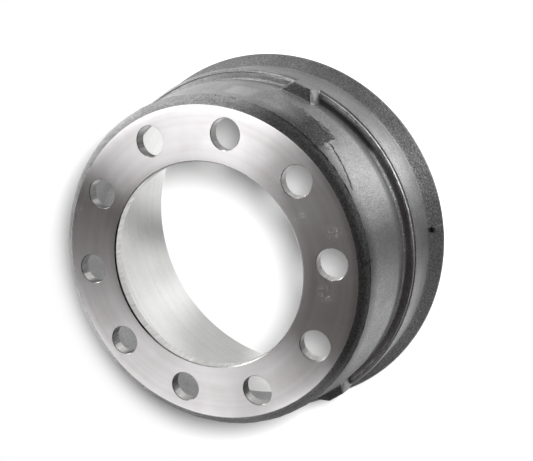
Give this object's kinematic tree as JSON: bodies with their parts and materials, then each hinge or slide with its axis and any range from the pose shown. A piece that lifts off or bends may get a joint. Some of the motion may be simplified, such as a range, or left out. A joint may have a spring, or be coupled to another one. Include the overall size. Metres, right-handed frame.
{
  "type": "brake drum",
  "caption": "Heavy-duty cast-iron brake drum: a flat bolting flange with a pilot bore, a deep neck, a stepped barrel and a thick rim near the open mouth.",
  "frame": {"origin": "on the drum's axis, in the plane of the open mouth that it stands on", "axes": "+Z along the axis from the open mouth to the mounting flange; +X towards one stud hole, in line with the two moulding nubs"},
  "size_m": [0.4342, 0.4342, 0.23],
  "materials": {
    "iron": "satin"
  },
  "bodies": {
    "root": {"brake_drum": "iron"}
  },
  "joints": []
}
